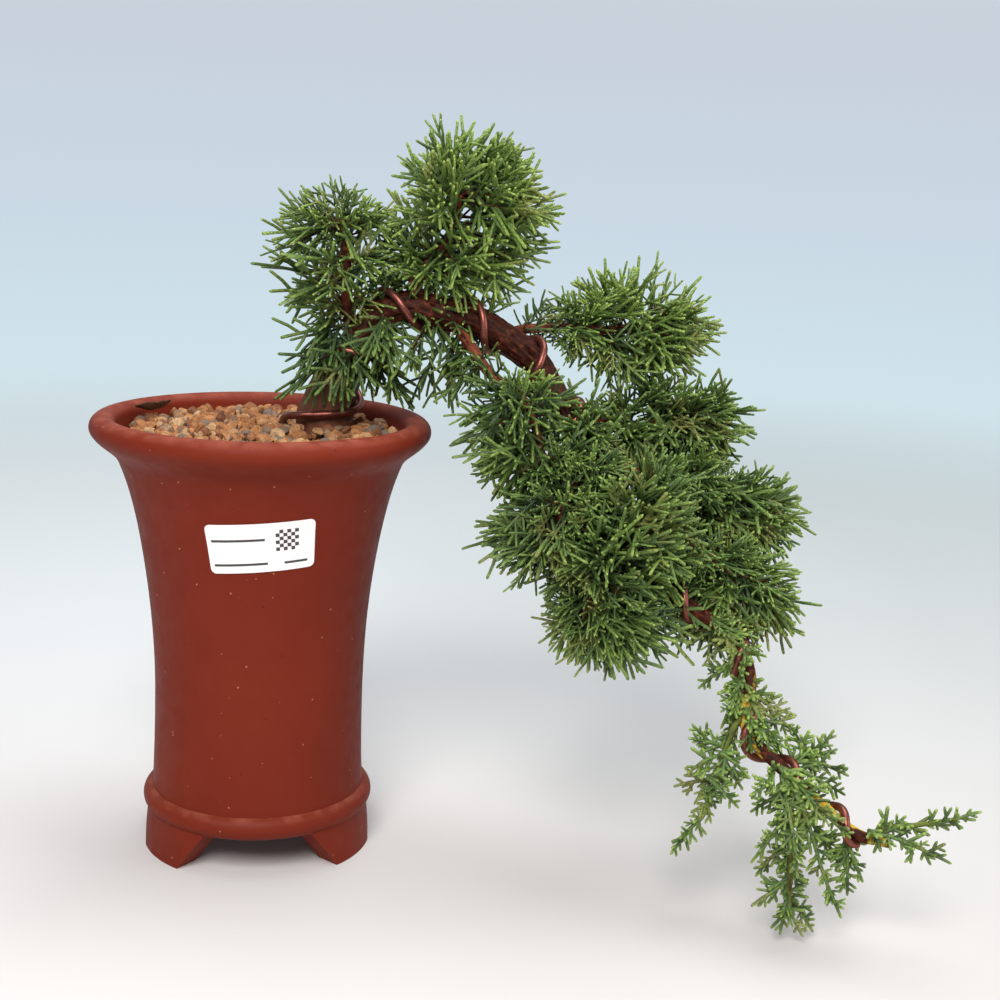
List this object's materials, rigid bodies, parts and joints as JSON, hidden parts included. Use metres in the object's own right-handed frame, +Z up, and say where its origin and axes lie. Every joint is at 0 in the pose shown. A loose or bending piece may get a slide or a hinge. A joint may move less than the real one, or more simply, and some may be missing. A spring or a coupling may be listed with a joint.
{
  "type": "cascade juniper bonsai in a clay pot",
  "caption": "Small cascade juniper bonsai, wired trunk arching over the rim of a tall unglazed clay pot on short feet, with pads of green scale foliage.",
  "frame": {"origin": "on the ground under the middle of the whole plant's box; the pot's axis stands at x -89.4 mm, y 30.9 mm", "axes": "+Z up; +X the way the cascade reaches; -Y the front, where the label is"},
  "size_m": [0.3067, 0.1898, 0.2777],
  "materials": {
    "clay": "matte",
    "gravel": "matte",
    "bark": "satin",
    "twig_bark": "matte",
    "foliage": "satin",
    "copper_wire": "satin",
    "paper": "satin",
    "mesh_plastic": "matte",
    "clip_wire": "satin",
    "dry_leaf": "matte"
  },
  "bodies": {
    "root": {"pot": "clay", "soil": "gravel", "drain_mesh": "mesh_plastic", "drain_mesh_clip": "clip_wire", "label": "paper", "dry_leaf": "dry_leaf", "trunk": "bark", "training_wire": "copper_wire", "branch_left": "twig_bark", "branch_apex": "twig_bark", "branch_right": "twig_bark", "branch_lower_left": "twig_bark", "branch_back": "twig_bark", "branch_outer": "twig_bark", "branch_outer_lower": "twig_bark", "branch_front": "twig_bark", "branch_front_left": "twig_bark", "twig_hanging_left": "twig_bark", "twig_hanging_centre": "twig_bark", "twig_upper": "twig_bark", "twig_tip": "twig_bark", "foliage_left": "foliage", "foliage_left_skirt": "foliage", "foliage_apex": "foliage", "foliage_under_arch": "foliage", "foliage_right": "foliage", "foliage_upper_left": "foliage", "foliage_upper_right": "foliage", "foliage_middle_left": "foliage", "foliage_middle": "foliage", "foliage_outer": "foliage", "foliage_lower": "foliage", "foliage_outer_lower": "foliage", "spray_tail_knot": "foliage", "spray_hanging_left": "foliage", "spray_hanging_centre": "foliage", "spray_upper": "foliage", "spray_tip": "foliage", "spray_underside": "foliage"}
  },
  "joints": []
}
